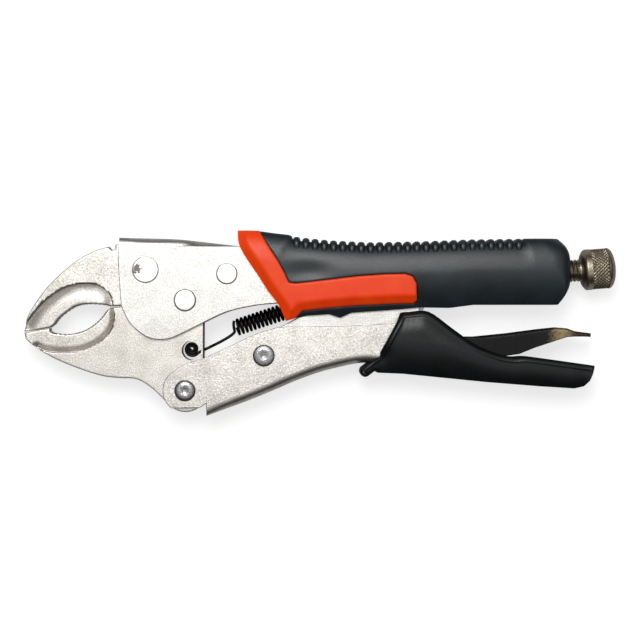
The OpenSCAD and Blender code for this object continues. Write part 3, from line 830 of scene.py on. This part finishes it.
def turned(profile, columns):
    """A closed turned shape round the x axis from (distance, radius) pairs in mm."""
    verts, faces = [], []
    angles = [2 * math.pi * k / columns for k in range(columns)]
    for x, r in profile:
        verts += [(x * MM, r * MM * math.cos(a), r * MM * math.sin(a)) for a in angles]
    for row in range(len(profile) - 1):
        a, b = row * columns, (row + 1) * columns
        faces += [(a + k, b + k, b + (k + 1) % columns, a + (k + 1) % columns) for k in range(columns)]
    last = (len(profile) - 1) * columns
    faces += [tuple(range(columns)), tuple(range(last + columns - 1, last - 1, -1))]
    return verts, faces

def in_steps(points, step):
    """Splits a profile so that no two of its points are more than step apart along the axis."""
    rows = []
    for a, b in zip(points[:-1], points[1:]):
        count = max(1, math.ceil(abs(b[0] - a[0]) / step))
        rows += [(a[0] + (b[0] - a[0]) * i / count, a[1] + (b[1] - a[1]) * i / count) for i in range(count)]
    return rows + [points[-1]]

# The profiles are (distance from the link's end, radius) pairs in mm: a neck and a threaded shank, then the head
shank = in_steps([(8.42, 2.4), (8.6, 2.74), (12.3, 2.74), (12.31, 4.0), (13.1, 4.78)], 0.5)
shank += in_steps([(13.2, 4.78), (61.5, 4.78)], 0.19)
head = [(60.5, 4.9), (60.5, 5.6), (60.7, 6.3), (61.2, 7.3), (61.9, 8.2), (62.5, 8.6)]
head += in_steps([(62.8, 8.64), (71.9, 8.64)], 0.2)
head += [(72.5, 8.5), (73.1, 8.1), (73.7, 7.4), (74.2, 6.4), (74.6, 5.3), (74.9, 3.9), (75.1, 2.2), (75.18, 0.6)]
shank_verts, shank_faces = turned(shank, 40)
head_verts, head_faces = turned(head, 144)
screw_base = bpy.data.meshes.new("screw_base")
offset = len(shank_verts)
head_faces = [tuple(i + offset for i in face) for face in head_faces]
screw_base.from_pydata(shank_verts + head_verts, [], shank_faces + head_faces)
screw_base.update()
print("turned screw faces:", len(screw_base.polygons))

# %% Thread and knurl
tree, given = new_tree("thread_and_knurl", {
    "Thread pitch": ("Float", 0.0015), "Thread depth": ("Float", 0.0007), "Thread end": ("Float", 0.06),
    "Knurl from": ("Float", 0.065), "Knurl to": ("Float", 0.072), "Knurl count": ("Float", 36.0),
    "Knurl pitch": ("Float", 0.0016), "Knurl depth": ("Float", 0.0005), "Finish": ("Material", None)})
spot = add(tree, "SeparateXYZ", {0: add(tree, "InputPosition")})
turn = add(tree, "Math", {0: spot.outputs["Z"], 1: spot.outputs["Y"]}, operation="ARCTAN2")
lap = add(tree, "Math", {0: turn, 1: 2 * math.pi}, operation="DIVIDE")
wound = add(tree, "Math", {0: spot.outputs["X"], 1: given.outputs["Thread pitch"]}, operation="DIVIDE")
spiral = add(tree, "Math", {0: wound, 1: lap}, operation="SUBTRACT")
saw = add(tree, "Math", {0: spiral, 1: 0.5}, operation="PINGPONG")
thread_from = add(tree, "MapRange", {"Value": spot.outputs["X"], "From Min": 0.0132, "From Max": 0.0142})
thread_to = add(tree, "MapRange", {"Value": spot.outputs["X"], "From Min": given.outputs["Thread end"],
                                   "From Max": 0.0, "To Min": 0.0, "To Max": 400.0})
thread_to = add(tree, "Math", {0: thread_to, 1: 1.0}, operation="MINIMUM")
thread_on = add(tree, "Math", {0: thread_from, 1: thread_to}, operation="MULTIPLY")
thread = add(tree, "Math", {0: saw, 1: given.outputs["Thread depth"]}, operation="MULTIPLY")
thread = add(tree, "Math", {0: thread, 1: thread_on}, operation="MULTIPLY")
around = add(tree, "Math", {0: lap, 1: given.outputs["Knurl count"]}, operation="MULTIPLY")
forth = add(tree, "Math", {0: spot.outputs["X"], 1: given.outputs["Knurl pitch"]}, operation="DIVIDE")
right = add(tree, "Math", {0: around, 1: forth}, operation="ADD")
left = add(tree, "Math", {0: around, 1: forth}, operation="SUBTRACT")
right = add(tree, "Math", {0: right, 1: 0.5}, operation="PINGPONG")
left = add(tree, "Math", {0: left, 1: 0.5}, operation="PINGPONG")
lower = add(tree, "Math", {0: right, 1: left}, operation="MINIMUM")
groove = add(tree, "MapRange", {"Value": lower, "From Min": 0.0, "From Max": 0.5, "To Min": 1.0, "To Max": 0.0})
knurl_in = add(tree, "Math", {0: spot.outputs["X"], 1: given.outputs["Knurl from"]}, operation="GREATER_THAN")
knurl_out = add(tree, "Math", {0: spot.outputs["X"], 1: given.outputs["Knurl to"]}, operation="LESS_THAN")
knurl_on = add(tree, "Math", {0: knurl_in, 1: knurl_out}, operation="MULTIPLY")
knurl = add(tree, "Math", {0: groove, 1: given.outputs["Knurl depth"]}, operation="MULTIPLY")
knurl = add(tree, "Math", {0: knurl, 1: knurl_on}, operation="MULTIPLY")
depth = add(tree, "Math", {0: thread, 1: knurl}, operation="ADD")
inward = add(tree, "Math", {0: depth, 1: -1.0}, operation="MULTIPLY")
radial = add(tree, "CombineXYZ", {1: spot.outputs["Y"], 2: spot.outputs["Z"]})
radial = add(tree, "VectorMath", {0: radial}, operation="NORMALIZE")
shift = add(tree, "VectorMath", {0: radial, "Scale": inward}, operation="SCALE")
pressed = add(tree, "SetPosition", {"Geometry": given.outputs["Geometry"], "Offset": shift})
close_tree(tree, given, pressed)

screw_mesh = run_tree(
    "screw", screw_base, tree, Thread_pitch=1.5 * MM, Thread_depth=1.2 * MM, Thread_end=60.0 * MM,
    Knurl_from=64.8 * MM, Knurl_to=71.8 * MM, Knurl_count=36.0, Knurl_pitch=1.6 * MM, Knurl_depth=0.75 * MM,
    Finish=screw_steel)
screw_mesh.transform(Matrix.Translation(start) @ Matrix.Rotation(math.atan2(axis.y, axis.x), 4, "Z"))
stands_for(shown("knurled_screw", screw_mesh, screw_steel, 40), "adjusting_screw")

# %% [markdown]
# ## Return spring
# A tension spring of round wire: a tight coil, a leg that runs down to a hook in the moving jaw's hole, and a loop
# round the pin in the handle. The tree winds the coil from named sizes, and sweeps the same wire along the two legs,
# which come in as plain lines. When the jaw moves the real spring stretches; this piece is attached to neither the
# handle nor the jaw, so it stays where it is made.

# %% Wind the spring
pin_low, pin_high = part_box("spring_anchor_pin")
pin = np.array([(pin_low.x + pin_high.x) / 2, (pin_low.y + pin_high.y) / 2]) / MM
coil_from, wire_r, coil_mid = np.array([-35.5, -1.9]), 0.62, 3.08  # mm: the coil's front end, wire and winding radius
run = pin - coil_from
coil_len = float(np.linalg.norm(run)) - 4.2
ahead = run / np.linalg.norm(run)
across = np.array([-ahead[1], ahead[0]])

def on_coil(x, y, z=0.0):
    return (*((coil_from + x * ahead + y * across) * MM), MID + z * MM)

def bow(a, b, c, count=10):
    """A smooth row of points from a to c that bends towards b."""
    a, b, c = (np.array(p) for p in (a, b, c))
    return [tuple((1 - t) ** 2 * a + 2 * t * (1 - t) * b + t * t * c) for t in np.linspace(0, 1, count)]

def round_path(centre, radii, angles):
    """Points on a circle or spiral round a centre, one for each radius (mm) and angle."""
    return [(*((centre + r * np.array([math.cos(a), math.sin(a)])) * MM), MID) for r, a in zip(radii, angles)]

# The front leg leaves the coil, drops to the jaw's hole and is rolled into an eye there. The eye is wound so wide
# that its black wire fills most of the hole: partly the real hook, partly painted shade, a dark disc put where the
# inside of the hole is in shade.
hook, eye = np.array([-51.4, -12.9]), np.array([-54.3, -11.0])
lead = bow(on_coil(0.0, coil_mid), on_coil(-1.0, 1.8), on_coil(-1.2, -1.2), 8)
lead += bow(on_coil(-1.2, -1.2), on_coil(-1.4, -3.0), (*(hook * MM + 0.001), MID), 12)[1:]
rolled = np.linspace(0, 5.0 * math.pi, 80)
# Tight turns from 3 mm radius inwards overlap into a black disc: the hook's eye and painted shade in the hole
hook_eye_and_hole_shade = round_path(eye, 3.0 - 0.16 * rolled, -rolled - 0.6)
lead = lead[:-2] + bow(lead[-2], (hook_eye_and_hole_shade[0][0] + 0.0015, hook_eye_and_hole_shade[0][1] + 0.0008, MID), hook_eye_and_hole_shade[0], 6) + hook_eye_and_hole_shade[1:]
# The rear leg is a loop round the pin, open by a tenth of a turn
open_at = math.atan2(-ahead[1], -ahead[0])
loop = round_path(pin, [1.5 + wire_r + 0.1] * 28, np.linspace(0, 2 * math.pi * 0.9, 28) + open_at)
tail = bow(on_coil(coil_len, coil_mid), on_coil(coil_len + 1.2, coil_mid * 0.9), loop[0], 8)[:-1] + loop
legs = bpy.data.meshes.new("spring_legs")
links = [(i, i + 1) for i in range(len(lead) + len(tail) - 1) if i != len(lead) - 1]
legs.from_pydata(lead + tail, links, [])

tree, given = new_tree("coil_spring", {
    "Turns": ("Float", 28.0), "Coil radius": ("Float", 0.003), "Coil length": ("Float", 0.046),
    "Wire radius": ("Float", 0.0006), "Place": ("Vector", None), "Turn": ("Float", 0.0), "Finish": ("Material", None)})
wide = given.outputs["Coil radius"]
wire = add(tree, "CurveSpiral", {"Resolution": 20, "Rotations": given.outputs["Turns"], "Start Radius": wide,
                                 "End Radius": wide, "Height": given.outputs["Coil length"]})
laid = add(tree, "Transform", {"Geometry": wire, "Rotation": (0, math.pi / 2, 0)})
spin = add(tree, "CombineXYZ", {2: given.outputs["Turn"]})
aimed = add(tree, "Transform", {"Geometry": laid, "Translation": given.outputs["Place"], "Rotation": spin})
ends = add(tree, "MeshToCurve", {0: given.outputs["Geometry"]})
all_wire = add(tree, "JoinGeometry", {0: aimed})
tree.links.new(ends.outputs[0], all_wire.inputs[0])
round_wire = add(tree, "CurvePrimitiveCircle", {"Resolution": 8, "Radius": given.outputs["Wire radius"]})
swept = add(tree, "CurveToMesh", {"Curve": all_wire, "Profile Curve": round_wire, "Fill Caps": True})
close_tree(tree, given, swept)
spring_mesh = run_tree(
    "spring", legs, tree, Turns=26.0, Coil_radius=coil_mid * MM, Coil_length=coil_len * MM,
    Wire_radius=wire_r * MM, Place=(coil_from[0] * MM, coil_from[1] * MM, MID),
    Turn=math.atan2(ahead[1], ahead[0]), Finish=spring_steel)
spring = shown("return_spring_wire", spring_mesh, spring_steel, 60)
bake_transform(spring)
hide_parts("jaw_spring")
print("spring faces:", len(spring_mesh.polygons))

# %% Measure the finished object
low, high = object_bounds()
